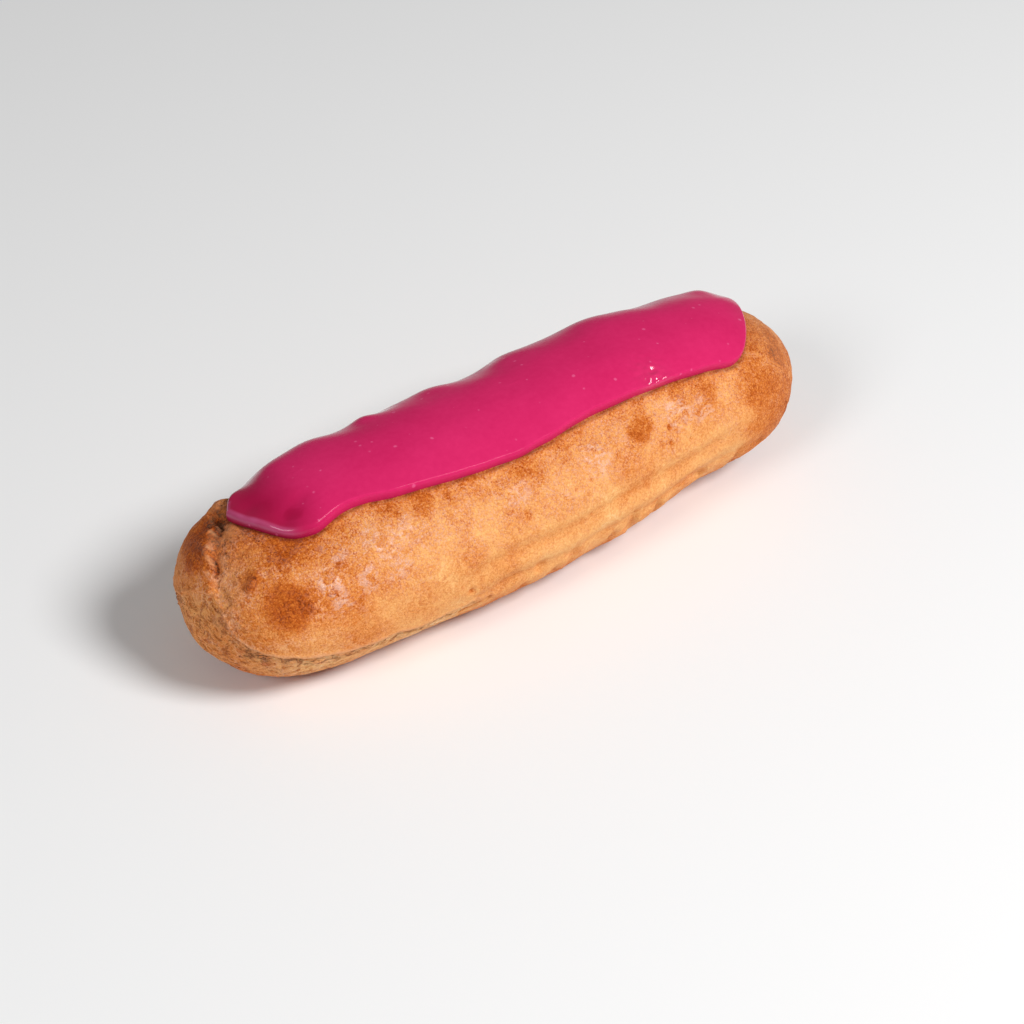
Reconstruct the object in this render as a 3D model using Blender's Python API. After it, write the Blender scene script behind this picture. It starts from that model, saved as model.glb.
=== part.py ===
"""An eclair: a long baked choux bun with a layer of fondant icing poured along its back.

The bun lies along X on its flat base, with its blunt, drooping end at -X and its rounder end at +X.
Both pieces start from a sphere whose vertices are moved onto the form that the sizes below describe.
"""
import math

import bmesh
import bpy
from mathutils import Vector

# ---- Driving sizes, in metres -------------------------------------------------------------------
BUN_LENGTH = 0.140
BUN_WIDTH = 0.042
BUN_HEIGHT = 0.034
ICING_THICKNESS = 0.0026
LAYER_GAP = 0.00035          # clear space kept between the crust and the underside of the icing

# ---- Shape of the bun ---------------------------------------------------------------------------
BLUNT_END = 8.3              # how square the -X end is along the length: 2 would be an ellipse
ROUND_END = 4.5              # the same for the +X end
WAIST = 0.44                 # height of the widest line, as a share of the bun's height
CROWN_FULLNESS = 2.15        # superellipse power of the upper half of the section
BELLY_FULLNESS = 2.1         # the same for the lower half
BELLY_DEPTH = 1.12           # how far the lower half would reach if the tray did not flatten it
BOW = -0.0018                # how far the middle of the bun lies to one side of its tips

# Each swell is (place along the half length, spread, gain): the dough never rises evenly.
WIDTH_SWELLS = ((-0.60, 0.25, -0.015), (0.00, 0.24, 0.030), (0.42, 0.20, -0.058))
HEIGHT_SWELLS = ((-0.85, 0.26, -0.088), (0.80, 0.35, -0.024))

# ---- Relief on the crust ------------------------------------------------------------------------
CREASE_DEPTH = 0.0007        # groove where the risen body hangs over its thin foot
CREASE_WIDTH = 0.0019
CREASE_LOW = 0.0085          # its height along the flank
CREASE_RISE = 0.0060         # how much higher it climbs round the -X end
CREASE_FADE = (-0.042, -0.012)   # stretch of the flank over which the foot merges into the body
FOOT_INSET = 0.0007          # how far the foot below the groove stands back

FLUTE_DEPTH = 0.0003         # half the depth of the shallow ridges that the piping nozzle leaves
FLUTE_PITCH = 0.0062
FLUTE_BAND = (0.008, 0.022)  # heights between which the ridges show

# Each mound is (x, y, z, radius, height); a negative height is a hollow.
MOUNDS = (
    (-0.0660, 0.0060, 0.0235, 0.0065, 0.0011),    # raised brown flap over the blunt end
    (-0.0645, -0.0035, 0.0250, 0.0045, -0.0010),  # pale hollow where the crust tore beside it
    (-0.0620, -0.0083, 0.0262, 0.0028, 0.0004),   # small fold beyond the hollow
    (-0.0590, -0.0150, 0.0238, 0.0045, 0.0004),   # round blister
    (0.0277, -0.0186, 0.0244, 0.0030, -0.0004),   # pair of dimples on the flank
    (-0.0500, 0.0145, 0.0270, 0.0080, -0.0016),   # slack places along the +Y shoulder
    (-0.0290, 0.0140, 0.0290, 0.0065, -0.0005),
    (0.0000, 0.0140, 0.0290, 0.0130, -0.0011),
    (0.0450, 0.0120, 0.0270, 0.0070, -0.0006),
    (0.0380, -0.0180, 0.0050, 0.0130, -0.0022),   # slack place low on the -Y flank
)

# ---- Shape of the icing, in plan ----------------------------------------------------------------
ICING_START = -0.0563
ICING_END = 0.0585
ICING_HALF_WIDTH = 0.0129
ICING_CAP = 0.012            # length over which each end rounds off
CAP_FULLNESS = 0.62          # 0.5 would be a half ellipse, more is a more pointed tongue
ICING_BULGE = (-0.004, 0.009, 0.0012)   # (x, spread, extra half width) of the fullest stretch
DRIFT = 0.0034               # sideways shift of the icing's middle line towards the -X end
DRIFT_FROM = -0.045
DRIFT_TO = -0.012
TIP_DRIFT = 0.0012           # further shift at the very tip
LIP_TUCK = math.radians(20)  # how far the rounded lip tucks in under itself
LIP_HEIGHT = 0.0017          # the layer is thinner at its rounded lip than in its middle
LIP_RADIUS = 0.0016
LIP_SLOPE = 0.35             # share of the way to the middle over which it reaches full thickness

# ---- Mesh density -------------------------------------------------------------------------------
BUN_AROUND = 54
BUN_ALONG = 62
ICING_AROUND = 60
ICING_RINGS = 11             # rings from the icing's edge to its middle, above and below
LIP_RINGS = 4                # how many of the upper rings shape the rounded lip
SLOPE_STEP = 0.0002          # distance over which the crust's slope is measured

# ---- Finishes: linear colour, roughness, metallic -----------------------------------------------
CRUST_FINISH = ((0.68, 0.34, 0.14, 1.0), 0.62, 0.0)
ICING_FINISH = ((0.72, 0.027, 0.14, 1.0), 0.18, 0.0)


def smooth_step(low, high, value):
    """0 below low, 1 above high, and an even slope between."""
    share = min(max((value - low) / (high - low), 0.0), 1.0)
    return share * share * (3.0 - 2.0 * share)


def bell(value, centre, spread):
    """A smooth hump of height 1 round centre."""
    return math.exp(-((value - centre) / spread) ** 2)


def swell(place, swells):
    """The combined gain of a set of swells at a place along the half length."""
    return 1.0 + sum(gain * bell(place, centre, spread) for centre, spread, gain in swells)


def end_rounding(x):
    """1 along the body of the bun, falling to 0 at both tips."""
    place = x / (BUN_LENGTH / 2)
    power = BLUNT_END if place < 0 else ROUND_END
    return math.sqrt(max(1.0 - abs(place) ** power, 0.0))


def bow(x):
    """The sideways place of the bun's middle line in the section at x."""
    return BOW * (1.0 - (x / (BUN_LENGTH / 2)) ** 2)


def half_width(x):
    """Half the bun's width in the section at x."""
    return BUN_WIDTH / 2 * end_rounding(x) * swell(x / (BUN_LENGTH / 2), WIDTH_SWELLS)


def crown_rise(x):
    """How far the back of the bun stands above its widest line in the section at x."""
    full_rise = BUN_HEIGHT * (swell(x / (BUN_LENGTH / 2), HEIGHT_SWELLS) - WAIST)
    return full_rise * end_rounding(x)


def section_point(x, turn):
    """The plain bun's surface at x, turned from +Y (0) over the back (90 degrees) and round."""
    across = math.cos(turn)
    upward = math.sin(turn)
    fullness = CROWN_FULLNESS if upward >= 0 else BELLY_FULLNESS
    y = bow(x) + half_width(x) * math.copysign(abs(across) ** (2 / fullness), across)
    lift = math.copysign(abs(upward) ** (2 / fullness), upward)
    if upward >= 0:
        reach = crown_rise(x)
    else:
        reach = WAIST * BUN_HEIGHT * BELLY_DEPTH * end_rounding(x)
    return Vector((x, y, WAIST * BUN_HEIGHT + reach * lift))


def crown_height(x, y):
    """Height of the plain bun's upper surface over a point in plan."""
    share = min(abs(y - bow(x)) / half_width(x), 1.0)
    return WAIST * BUN_HEIGHT + crown_rise(x) * (1.0 - share ** CROWN_FULLNESS) ** (1 / CROWN_FULLNESS)


def foot_crease(point):
    """The groove above the foot and the foot's set-back: high round the -X end, then fading."""
    place = abs(point.x) / (BUN_LENGTH / 2)
    height = CREASE_LOW + CREASE_RISE * place ** 3
    strength = 1.0 - smooth_step(*CREASE_FADE, point.x)
    groove = CREASE_DEPTH * bell(point.z, height, CREASE_WIDTH)
    foot = FOOT_INSET * (1.0 - smooth_step(height - CREASE_WIDTH, height + CREASE_WIDTH, point.z))
    return -strength * (groove + foot)


def nozzle_flutes(point):
    """Lengthwise ridges low on the flanks, fading out towards both ends."""
    low, high = FLUTE_BAND
    band = smooth_step(low, low + 0.004, point.z) * (1.0 - smooth_step(high - 0.004, high, point.z))
    along = smooth_step(-0.035, -0.010, point.x) * (1.0 - smooth_step(0.030, 0.055, point.x))
    wave = math.cos(2 * math.pi * (point.z - low) / FLUTE_PITCH)
    return FLUTE_DEPTH * band * along * (wave - 1.0)


def mounds(point):
    """Raised and sunken places that the oven left."""
    total = 0.0
    for x, y, z, radius, height in MOUNDS:
        total += height * bell((point - Vector((x, y, z))).length, 0.0, radius)
    return total


def relief(point):
    """How far the real crust stands out from the plain form at a point."""
    return foot_crease(point) + nozzle_flutes(point) + mounds(point)


def icing_half_width(x):
    """Half the icing's width in plan at x, without its rounded ends."""
    centre, spread, extra = ICING_BULGE
    return ICING_HALF_WIDTH + extra * bell(x, centre, spread)


def icing_middle(x):
    """The sideways place of the icing's middle line at x."""
    drift = DRIFT * (1.0 - smooth_step(DRIFT_FROM, DRIFT_TO, x))
    return drift + TIP_DRIFT * (1.0 - smooth_step(ICING_START, ICING_START + 0.0045, x))


def icing_outline(turn):
    """The icing's edge in plan, turned from its +X tip (0) round through +Y."""
    middle = (ICING_START + ICING_END) / 2
    half_length = (ICING_END - ICING_START) / 2
    x = middle + half_length * math.cos(turn)
    into_cap = max(abs(x - middle) - (half_length - ICING_CAP), 0.0) / ICING_CAP
    width = icing_half_width(x) * max(1.0 - into_cap ** 2, 0.0) ** CAP_FULLNESS
    return Vector((x, icing_middle(x) + math.copysign(width, math.sin(turn)), 0.0))


def on_crust(x, y, height):
    """The point at a height above the real crust, measured square to it, over a point in plan."""
    slope_x = (crown_height(x + SLOPE_STEP, y) - crown_height(x - SLOPE_STEP, y)) / (2 * SLOPE_STEP)
    slope_y = (crown_height(x, y + SLOPE_STEP) - crown_height(x, y - SLOPE_STEP)) / (2 * SLOPE_STEP)
    outward = Vector((-slope_x, -slope_y, 1.0)).normalized()
    point = Vector((x, y, crown_height(x, y)))
    return point + outward * (relief(point) + height)


def inset_towards_middle(edge, distance):
    """A point of the outline moved in plan towards the icing's middle line."""
    reach = ICING_HALF_WIDTH
    spine_x = min(max(edge.x, ICING_START + reach), ICING_END - reach)
    spine = Vector((spine_x, icing_middle(spine_x), 0.0))
    return edge + (spine - edge).normalized() * distance


def icing_top_point(edge, ring):
    """The icing's upper surface at a ring counted from its edge (0) to its middle."""
    if ring <= LIP_RINGS:
        roll = -LIP_TUCK + (math.pi / 2 + LIP_TUCK) * ring / LIP_RINGS
        rise = (math.sin(roll) + math.sin(LIP_TUCK)) / (1.0 + math.sin(LIP_TUCK))
        plan = inset_towards_middle(edge, LIP_RADIUS * (1.0 - math.cos(roll)))
        return on_crust(plan.x, plan.y, LAYER_GAP + LIP_HEIGHT * rise)
    inner = inset_towards_middle(edge, LIP_RADIUS)
    centre_x = (ICING_START + ICING_END) / 2
    share = (ring - LIP_RINGS) / (ICING_RINGS - LIP_RINGS)
    plan = inner.lerp(Vector((centre_x, icing_middle(centre_x), 0.0)), share)
    swelling = math.sin(min(share / LIP_SLOPE, 1.0) * math.pi / 2)
    return on_crust(plan.x, plan.y, LAYER_GAP + LIP_HEIGHT + (ICING_THICKNESS - LIP_HEIGHT) * swelling)


def icing_under_point(edge, ring):
    """The icing's underside, which lies just clear of the crust."""
    start = inset_towards_middle(edge, LIP_RADIUS * (1.0 - math.cos(LIP_TUCK)))
    centre_x = (ICING_START + ICING_END) / 2
    plan = start.lerp(Vector((centre_x, icing_middle(centre_x), 0.0)), ring / ICING_RINGS)
    return on_crust(plan.x, plan.y, LAYER_GAP)


def shape_bun(sphere):
    """Moves a sphere's vertices onto the bun: its poles become the two tips."""
    for vertex in sphere.verts:
        turn = math.atan2(vertex.co.y, vertex.co.x)
        vertex.co = section_point(vertex.co.z * BUN_LENGTH / 2, turn)
    sphere.normal_update()
    for vertex in sphere.verts:
        vertex.co += vertex.normal * relief(vertex.co)
    for vertex in sphere.verts:
        vertex.co.z = max(vertex.co.z, 0.0)


def shape_icing(sphere):
    """Moves a sphere's vertices onto the icing: its equator becomes the edge on the crust."""
    for vertex in sphere.verts:
        edge = icing_outline(math.atan2(vertex.co.y, vertex.co.x))
        latitude = math.asin(min(max(vertex.co.z, -1.0), 1.0))
        ring = round(abs(latitude) / (math.pi / 2) * ICING_RINGS)
        if latitude >= 0:
            vertex.co = icing_top_point(edge, ring)
        else:
            vertex.co = icing_under_point(edge, ring)


def make_material(name, finish):
    """A plain finish in one colour."""
    colour, roughness, metallic = finish
    material = bpy.data.materials.new(name)
    material.use_nodes = True
    shader = material.node_tree.nodes["Principled BSDF"]
    shader.inputs["Base Color"].default_value = colour
    shader.inputs["Roughness"].default_value = roughness
    shader.inputs["Metallic"].default_value = metallic
    return material


def make_piece(name, around, along, shape, finish, collection):
    """Builds one piece from a unit sphere that a shape function moves onto its form."""
    sphere = bmesh.new()
    bmesh.ops.create_uvsphere(sphere, u_segments=around, v_segments=along, radius=1.0)
    shape(sphere)
    bmesh.ops.triangulate(sphere, faces=sphere.faces)
    bmesh.ops.recalc_face_normals(sphere, faces=sphere.faces)
    mesh = bpy.data.meshes.new(name)
    sphere.to_mesh(mesh)
    sphere.free()
    mesh.shade_smooth()
    mesh.set_sharp_from_angle(angle=math.radians(60))
    mesh.materials.append(make_material(name + "_finish", finish))
    piece = bpy.data.objects.new(name, mesh)
    collection.objects.link(piece)
    return piece


def centre_on_base(pieces):
    """Moves the pieces together so that the middle of their common box stands over the origin."""
    corners = [piece.matrix_world @ vertex.co for piece in pieces for vertex in piece.data.vertices]
    middle_x = (min(c.x for c in corners) + max(c.x for c in corners)) / 2
    middle_y = (min(c.y for c in corners) + max(c.y for c in corners)) / 2
    for piece in pieces:
        piece.location = (-middle_x, -middle_y, 0.0)


for leftover in list(bpy.data.objects):
    bpy.data.objects.remove(leftover, do_unlink=True)

eclair = bpy.data.collections.new("eclair")
bpy.context.scene.collection.children.link(eclair)
bun = make_piece("choux_bun", BUN_AROUND, BUN_ALONG, shape_bun, CRUST_FINISH, eclair)
icing = make_piece("icing", ICING_AROUND, 2 * ICING_RINGS, shape_icing, ICING_FINISH, eclair)
centre_on_base((bun, icing))
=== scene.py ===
# %% [markdown]
# # An iced eclair, finished around its solid model
# The solid model is already made: a bun and a layer of icing, at their real sizes. This lesson puts
# the real surfaces around it: a baked crust with its swells, tears, pores and browning, and a poured
# fondant that has set glossy with a rounded lip. The model is loaded first and is never moved, so
# every size below is read from it.

# %% Load the solid model
import math

import bpy
import numpy as np
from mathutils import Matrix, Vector, noise


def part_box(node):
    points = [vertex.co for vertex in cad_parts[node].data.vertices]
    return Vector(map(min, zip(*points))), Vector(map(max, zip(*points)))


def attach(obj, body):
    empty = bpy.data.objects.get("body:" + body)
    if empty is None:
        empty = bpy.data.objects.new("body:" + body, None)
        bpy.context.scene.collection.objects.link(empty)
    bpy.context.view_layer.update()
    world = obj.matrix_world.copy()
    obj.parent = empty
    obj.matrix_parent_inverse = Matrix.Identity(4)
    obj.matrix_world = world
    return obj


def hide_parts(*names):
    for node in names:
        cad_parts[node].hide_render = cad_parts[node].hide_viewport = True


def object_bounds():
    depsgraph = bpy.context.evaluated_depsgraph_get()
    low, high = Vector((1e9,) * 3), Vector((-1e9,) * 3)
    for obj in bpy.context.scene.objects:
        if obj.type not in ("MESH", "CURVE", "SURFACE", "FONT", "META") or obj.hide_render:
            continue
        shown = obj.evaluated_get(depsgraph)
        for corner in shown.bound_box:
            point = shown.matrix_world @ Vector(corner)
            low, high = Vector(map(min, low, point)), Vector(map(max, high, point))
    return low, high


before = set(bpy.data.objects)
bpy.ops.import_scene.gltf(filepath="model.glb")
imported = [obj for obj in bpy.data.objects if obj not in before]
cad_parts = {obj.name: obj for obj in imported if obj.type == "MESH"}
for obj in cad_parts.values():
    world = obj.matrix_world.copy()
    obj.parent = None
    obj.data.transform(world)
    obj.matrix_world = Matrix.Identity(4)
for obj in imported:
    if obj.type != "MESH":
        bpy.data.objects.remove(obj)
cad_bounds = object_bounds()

BUN_LOW, BUN_HIGH = (np.array(corner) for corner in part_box("choux_bun"))
ICING_LOW, ICING_HIGH = (np.array(corner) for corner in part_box("icing"))
print("bun", (BUN_HIGH - BUN_LOW) * 1000, "mm; icing", (ICING_HIGH - ICING_LOW) * 1000, "mm")

# %% [markdown]
# ## Two curves that shape everything
# Dough and icing have no straight edges, so every feature fades in and out. `smooth_step` is an even
# slope from 0 to 1, and `bell` is a soft hump. Both take whole arrays of numbers, because the crust
# has almost a hundred thousand points and NumPy moves them all at once.

# %% Helpers for soft shapes
MM = 0.001


def smooth_step(low, high, value):
    """0 below low, 1 above high, and an even slope between."""
    share = np.clip((value - low) / (high - low), 0.0, 1.0)
    return share * share * (3.0 - 2.0 * share)


def bell(value, centre, spread):
    """A smooth hump of height 1 round centre."""
    return np.exp(-((value - centre) / spread) ** 2)


def swell(place, swells):
    """The combined gain of (place, spread, gain) swells at a place along the half length."""
    return 1.0 + sum(gain * bell(place, centre, spread) for centre, spread, gain in swells)


print("a bell's height at 0, 1 and 2 spreads:", bell(np.arange(3), 0.0, 1.0).round(2))


# %% [markdown]
# ## Waviness that looks baked
# Nothing on a bun repeats, so its small bumps come from noise: a smooth random field in space, which
# is the same on every run. Blender's own `noise` module works on one point at a time, and a short
# list comprehension is fast enough here. `size` is roughly the distance from one bump to the next.

# %% Noise over many points
def wander(points, size, shift=0.0):
    """Smooth noise from about -1 to 1 at many points, with bumps about `size` across."""
    places = (points / size + shift).tolist()
    return np.array([noise.noise(place) for place in places])


def cells(points, size, shift=0.0):
    """Distance to the nearest of many scattered points, in cells: 0 at a point, about 1 between."""
    places = (points / size + shift).tolist()
    return np.array([noise.voronoi(place)[0][0] for place in places])


print("noise at one place:", wander(np.array([[0.2, 0.4, 0.6]]), 1.0).round(3))


# %% [markdown]
# ## The plain bun
# A piped eclair is a fat sausage with one blunt end, where the nozzle started, and one rounder end,
# where it was pulled away. Its section is close to an ellipse, flattened where it lay on the tray.
# The form is given by formulas, as in the solid model: a width, a height, a rounding at both ends
# and a slight sideways bow. A sculpted mesh would look as good, but it couldn't be resized.

# %% Sizes of the plain bun
HALF_LENGTH = (BUN_HIGH[0] - BUN_LOW[0]) / 2
BUN_HEIGHT = BUN_HIGH[2] - BUN_LOW[2]
BUN_WIDTH = 0.042
BLUNT_END, ROUND_END = 8.3, 4.5
WAIST = 0.44 * BUN_HEIGHT
CROWN_FULLNESS, BELLY_FULLNESS = 2.15, 2.1
BELLY_DEPTH = 1.12
BOW = -1.8 * MM
WIDTH_SWELLS = ((-0.60, 0.25, -0.015), (0.00, 0.24, 0.030), (0.42, 0.20, -0.058))
HEIGHT_SWELLS = ((-0.85, 0.26, -0.088), (0.80, 0.35, -0.024))


def end_rounding(x):
    """1 along the body of the bun, falling to 0 at both tips."""
    place = np.clip(x / HALF_LENGTH, -1.0, 1.0)
    power = np.where(place < 0, BLUNT_END, ROUND_END)
    return np.sqrt(1.0 - np.abs(place) ** power)


def bow(x):
    """The sideways place of the bun's middle line."""
    return BOW * (1.0 - (x / HALF_LENGTH) ** 2)


def half_width(x):
    """Half the bun's width at x."""
    return BUN_WIDTH / 2 * end_rounding(x) * swell(x / HALF_LENGTH, WIDTH_SWELLS)


def crown_rise(x):
    """How far the back stands above the widest line."""
    return (BUN_HEIGHT * swell(x / HALF_LENGTH, HEIGHT_SWELLS) - WAIST) * end_rounding(x)


def section_points(x, turn):
    """Points of the plain bun at x, turned from +Y (0) over the back (90 degrees) and round."""
    across, upward = np.cos(turn), np.sin(turn)
    fullness = np.where(upward >= 0, CROWN_FULLNESS, BELLY_FULLNESS)
    y = bow(x) + half_width(x) * np.sign(across) * np.abs(across) ** (2 / fullness)
    reach = np.where(upward >= 0, crown_rise(x), WAIST * BELLY_DEPTH * end_rounding(x))
    z = WAIST + reach * np.sign(upward) * np.abs(upward) ** (2 / fullness)
    return np.stack([x, y, z], axis=1)


def crown_height(x, y):
    """Height of the plain bun's back over a point in plan."""
    share = np.minimum(np.abs(y - bow(x)) / np.maximum(half_width(x), 1e-9), 1.0)
    return WAIST + crown_rise(x) * (1.0 - share ** CROWN_FULLNESS) ** (1 / CROWN_FULLNESS)


print(f"plain bun {2 * half_width(0.0) / MM:.1f} mm wide and {crown_height(0.0, BOW) / MM:.1f} mm high")


# %% [markdown]
# ## A skin of even quads
# Both pieces start as a closed skin: rings of points from one pole to the other, like the lines of
# latitude on a globe. Blender's UV sphere is the same thing, but it gets very slow at this many
# points, so the rings are joined here. The bun's poles become its two tips. Even angles would crowd
# the rings at the tips and starve the middle, so they are spread by the length of skin between them.
# They are drawn closer together again at the blunt end, where the tear needs the finest mesh, and
# the columns are closer together on the flanks, which show, than under the icing.

# %% A closed skin of rings
def closed_skin(name, rings, columns):
    """A mesh of rings between two poles, and the ring and column number of each of its points."""
    ring = np.repeat(np.arange(1, rings), columns)
    column = np.tile(np.arange(columns), rings - 1)
    ring = np.concatenate([[0], ring, [rings]])
    column = np.concatenate([[0], column, [0]])
    faces = []
    for step in range(columns):
        ahead = (step + 1) % columns
        faces.append((0, 1 + ahead, 1 + step))
        for row in range(rings - 2):
            near, far = 1 + row * columns, 1 + (row + 1) * columns
            faces.append((near + step, near + ahead, far + ahead, far + step))
        last = 1 + (rings - 2) * columns
        faces.append((last + step, last + ahead, len(ring) - 1))
    mesh = bpy.data.meshes.new(name)
    mesh.from_pydata(np.zeros((len(ring), 3)).tolist(), [], faces)
    mesh.shade_smooth()
    return mesh, ring, column


def move_points(mesh, points):
    """Puts a mesh's points in new places and returns the normals there."""
    mesh.vertices.foreach_set("co", points.astype(np.float32).ravel())
    mesh.update()
    normals = np.empty(len(mesh.vertices) * 3, np.float32)
    mesh.vertex_normals.foreach_get("vector", normals)
    return normals.reshape(-1, 3).astype(float)


# %% Spread the rings and columns over the plain bun
RINGS_ALONG, COLUMNS_AROUND = 480, 204
FLANK_CROWDING = 0.35
TORN_END_CROWDING = 0.9
PROFILE_STEPS = 4000
MEAN_RADIUS = WAIST * 1.2

profile_x = HALF_LENGTH * -np.cos(np.linspace(0, math.pi, PROFILE_STEPS + 1))
profile_r = MEAN_RADIUS * end_rounding(profile_x)
skin_steps = np.hypot(np.diff(profile_x), np.diff(profile_r))
crowding = 1.0 + TORN_END_CROWDING * (1.0 - smooth_step(-60 * MM, -44 * MM, profile_x[1:]))
skin_run = np.concatenate([[0.0], np.cumsum(skin_steps * crowding)])
ring_x = np.interp(np.linspace(0.0, skin_run[-1], RINGS_ALONG + 1), skin_run, profile_x)
ring_gap = skin_run[-1] / RINGS_ALONG / MM
print(f"rings {ring_gap:.2f} mm apart, and {ring_gap / (1 + TORN_END_CROWDING):.2f} mm at the blunt end")

bun_mesh, bun_ring, bun_column = closed_skin("bun_crust", RINGS_ALONG, COLUMNS_AROUND)
bun_turn = bun_column / COLUMNS_AROUND * 2 * math.pi
spread_turn = bun_turn - FLANK_CROWDING * np.sin(2 * bun_turn) / 2
plain = section_points(ring_x[bun_ring], spread_turn)
plain_normals = move_points(bun_mesh, plain)
print(len(plain), "points on the bun")

# %% Fades along and up the bun
plain_x, plain_z = plain[:, 0], plain[:, 2]


def along(low, high):
    """0 before low and 1 past high, in millimetres along the bun from its middle."""
    return smooth_step(low * MM, high * MM, plain_x)


def up(low, high):
    """0 below low and 1 above high, in millimetres over the table."""
    return smooth_step(low * MM, high * MM, plain_z)


print(f"{np.mean(up(20, 21)):.0%} of the points are more than 20 mm high")

# %% [markdown]
# ## Swells and slack places
# In the oven the dough rises where the crust is weakest. A few broad mounds and hollows give the
# bun its own character: the flap over the blunt end, the hollow beside it, a blister, and slack
# places along the far shoulder. Each is one soft hump of a chosen radius and height.

# %% Mounds and hollows
# Each is (x, y, z, radius, height) in millimetres.
MOUNDS = (
    (-65.0, 4.5, 24.5, 5.0, 0.5), (-55.5, 11.5, 27.3, 3.4, 2.2), (-61.0, 12.5, 24.5, 3.0, 0.5),
    (-64.5, -3.5, 25.0, 4.5, -1.0), (-59.0, -15.0, 23.8, 4.5, 0.4), (-68.5, 1.0, 9.0, 6.0, 0.8),
    (-48.5, 14.5, 27.0, 6.5, -1.2), (7.0, -21.8, 8.0, 7.0, -0.8), (-29.0, 14.0, 29.0, 6.5, -0.5),
    (0.0, 14.0, 29.0, 13.0, -1.1), (45.0, 12.0, 27.0, 7.0, -0.6), (38.0, -18.0, 5.0, 13.0, -2.2),
)


def reach_from(points, x, y, z):
    """Distance of every point from one place given in millimetres."""
    return np.linalg.norm(points - np.array([x, y, z]) * MM, axis=1)


def humps(points, rows):
    """The height at every point of many soft humps."""
    total = np.zeros(len(points))
    for x, y, z, radius, height in rows:
        total += height * MM * bell(reach_from(points, x, y, z), 0.0, radius * MM)
    return total


print(len(MOUNDS), "mounds and hollows, up to", f"{np.abs(humps(plain, MOUNDS)).max() / MM:.1f} mm")

# %% [markdown]
# ## The torn end
# At the blunt end the crust set early, and the dough below tore it open: a brown flap stands over a
# pale hollow, with a ragged step between them. The tear is a short chain of points on the skin. The
# distance to that chain, with a sign for its two sides, gives the step, and noise added to the
# points before measuring makes its edge ragged. Sculpting would do it too, but not in a formula.

# %% Distance from a chain of points
TEAR = np.array([
    (-57.0, 11.5, 27.2), (-58.4, 9.3, 27.1), (-60.8, 5.6, 27.4), (-62.6, 4.4, 26.8),
    (-64.2, 2.0, 26.1), (-65.6, 0.1, 25.1), (-67.1, -1.6, 23.5), (-67.9, -3.5, 22.0),
]) * MM


def along_chain(points, chain):
    """Distance to a chain, share of the way along it, and which side in plan (-1 or 1)."""
    best = np.full(len(points), np.inf)
    share = np.zeros(len(points))
    side = np.ones(len(points))
    lengths = np.linalg.norm(np.diff(chain, axis=0), axis=1)
    starts = np.concatenate([[0.0], np.cumsum(lengths)])
    for start, end, run, length in zip(chain[:-1], chain[1:], starts[:-1], lengths):
        step = (end - start) / length
        walked = np.clip((points - start) @ step, 0.0, length)
        away = points - (start + walked[:, None] * step)
        reach = np.linalg.norm(away, axis=1)
        nearer = reach < best
        best = np.where(nearer, reach, best)
        share = np.where(nearer, (run + walked) / starts[-1], share)
        cross = step[0] * away[:, 1] - step[1] * away[:, 0]
        side = np.where(nearer, np.where(cross < 0, -1.0, 1.0), side)
    return best, share, side


def jitter(points, size, amount):
    """The points, each shifted by noise, so that what is measured from them gets ragged."""
    shifts = [wander(points, size, shift) for shift in (3.1, 11.7, 23.9)]
    return points + amount * np.stack(shifts, axis=1)


print(f"the tear is {np.linalg.norm(np.diff(TEAR, axis=0), axis=1).sum() / MM:.0f} mm long")


# %% The step, the crack below it and the stretched dough in the hollow
FLAP_RISE, HOLLOW_DEPTH, CRACK_DEPTH = 0.45 * MM, 0.70 * MM, 0.45 * MM
SHRED_HEIGHT, FIBRE_HEIGHT = 0.42 * MM, 0.13 * MM

torn = jitter(jitter(plain, 3.0 * MM, 1.3 * MM), 1.2 * MM, 0.8 * MM)
tear_reach, tear_share, tear_side = along_chain(torn, TEAR)
tear_ends = smooth_step(0.0, 0.08, tear_share) * (1.0 - smooth_step(0.90, 1.0, tear_share))
past_tear = tear_side * tear_reach
in_hollow = 0.5 + 0.5 * np.tanh(past_tear / (0.14 * MM))
flap_lip = bell(past_tear, -0.2 * MM, 1.8 * MM) * (1.0 - in_hollow)
hollow_drop = bell(past_tear, 0.2 * MM, 2.6 * MM) * in_hollow
crack = bell(past_tear, 0.55 * MM, 0.38 * MM) * smooth_step(0.14, 0.42, tear_share)
crack *= smooth_step(-0.25, 0.25, wander(plain, 2.4 * MM, 63.0) + 0.25)
hollow = in_hollow * bell(tear_reach, 2.5 * MM, 4.2 * MM) * up(13, 18)
fibre_run = np.stack([tear_share * 16, tear_reach / (4.0 * MM), 0 * tear_share], axis=1)
fibres = wander(fibre_run, 1.0) + 0.6 * wander(fibre_run * [2.3, 1.0, 1.0], 1.0, 4.0)
shreds = wander(plain, 1.0 * MM, 51.0) + wander(plain, 2.2 * MM, 57.0)
shreds = shreds * bell(past_tear, 0.0, 1.3 * MM)
tear = FLAP_RISE * flap_lip - HOLLOW_DEPTH * hollow_drop - CRACK_DEPTH * crack
tear = tear_ends * (tear + SHRED_HEIGHT * shreds) + FIBRE_HEIGHT * fibres * hollow
print(f"tear: step of {(tear.max() - tear.min()) / MM:.1f} mm")

# %% [markdown]
# ## The foot
# The first dough out of the nozzle sticks to the tray and dries there. The rest rises over it, so a
# seam runs round the blunt end and along the flank, and climbs to meet the tear. Above the seam the
# dough ends in a thin rolled edge. Below it is a band of torn, porous layers, and then the foot.
# The seam's height is a formula of the place along the bun, shaken by noise.

# %% Seam and porous band
SEAM_LOW, SEAM_RISE = 9.3 * MM, 6.0 * MM
TEAR_FOOT = np.array([-68.5, -2.5]) * MM
TEAR_CLIMB, TEAR_CLIMB_REACH = 7.5 * MM, 8.0 * MM
POROUS_DEPTH = 2.6 * MM

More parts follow.
